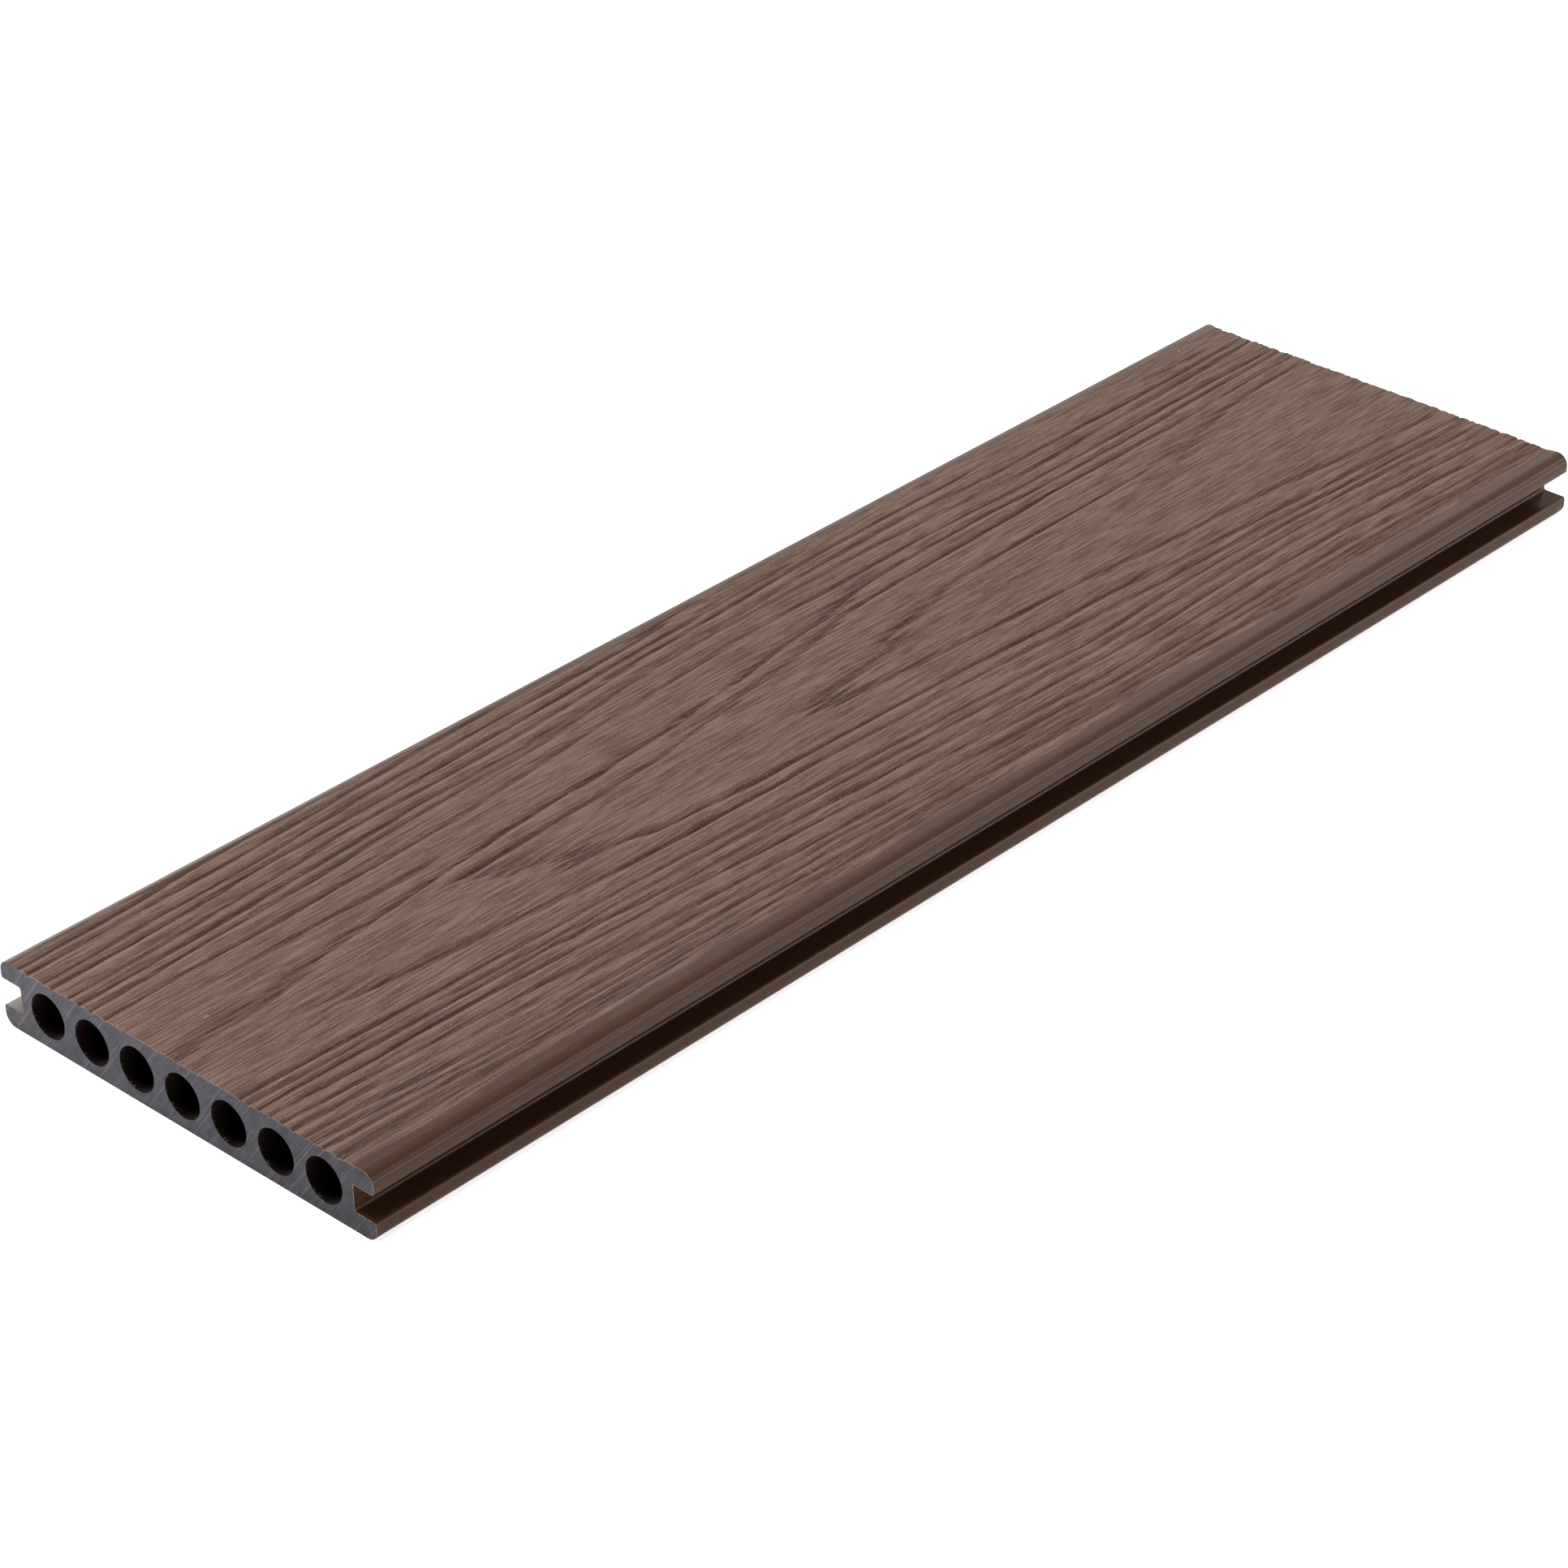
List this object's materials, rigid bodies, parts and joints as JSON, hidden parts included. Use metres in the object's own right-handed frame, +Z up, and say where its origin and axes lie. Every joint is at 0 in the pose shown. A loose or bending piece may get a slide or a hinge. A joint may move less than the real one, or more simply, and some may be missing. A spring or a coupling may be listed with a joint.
{
  "type": "decking board",
  "caption": "Wood-plastic composite decking board with an embossed timber-grain face, a row of round through chambers and a clip groove along each long edge.",
  "frame": {"origin": "middle of the underside", "axes": "+X along the board, away from the sawn end that the picture shows; +Z up through the embossed face"},
  "size_m": [0.485, 0.14, 0.02],
  "materials": {
    "composite": "brown embossed timber-grain cap with satin smooth edges, grey core on the sawn ends"
  },
  "bodies": {
    "root": {"decking_board": "composite"}
  },
  "joints": []
}
